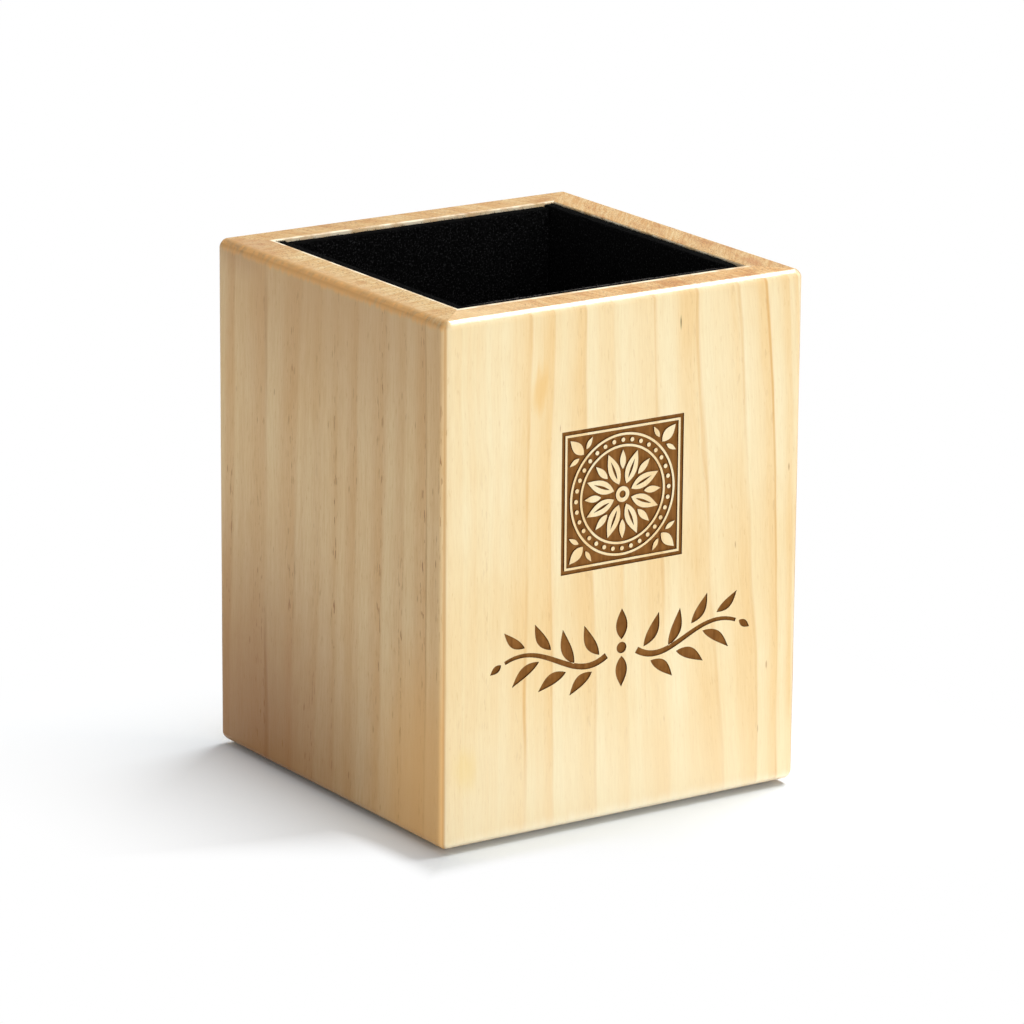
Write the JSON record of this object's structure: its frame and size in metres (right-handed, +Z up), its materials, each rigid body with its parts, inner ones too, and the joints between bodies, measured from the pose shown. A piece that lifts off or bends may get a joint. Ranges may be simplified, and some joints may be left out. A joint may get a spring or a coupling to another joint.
{
  "type": "pen cup",
  "caption": "Square wooden pen cup of mitred pine boards with rounded edges, a rabbeted base, a black felt lining inside and a thin felt pad under its foot.",
  "frame": {"origin": "centre of the underside of the foot pad, on the desk", "axes": "+Z up out of the cup's mouth, -Y out of the front wall, +X to the right as the front is seen"},
  "size_m": [0.08, 0.08, 0.101],
  "materials": {
    "pine": "clear satin lacquer over sanded pine, end grain on the rim",
    "felt": "matt black pressed felt"
  },
  "bodies": {
    "root": {"front_panel": "pine", "back_panel": "pine", "left_panel": "pine", "right_panel": "pine", "base_board": "pine", "front_lining": "felt", "back_lining": "felt", "left_lining": "felt", "right_lining": "felt", "floor_lining": "felt", "foot_pad": "felt"}
  },
  "joints": []
}
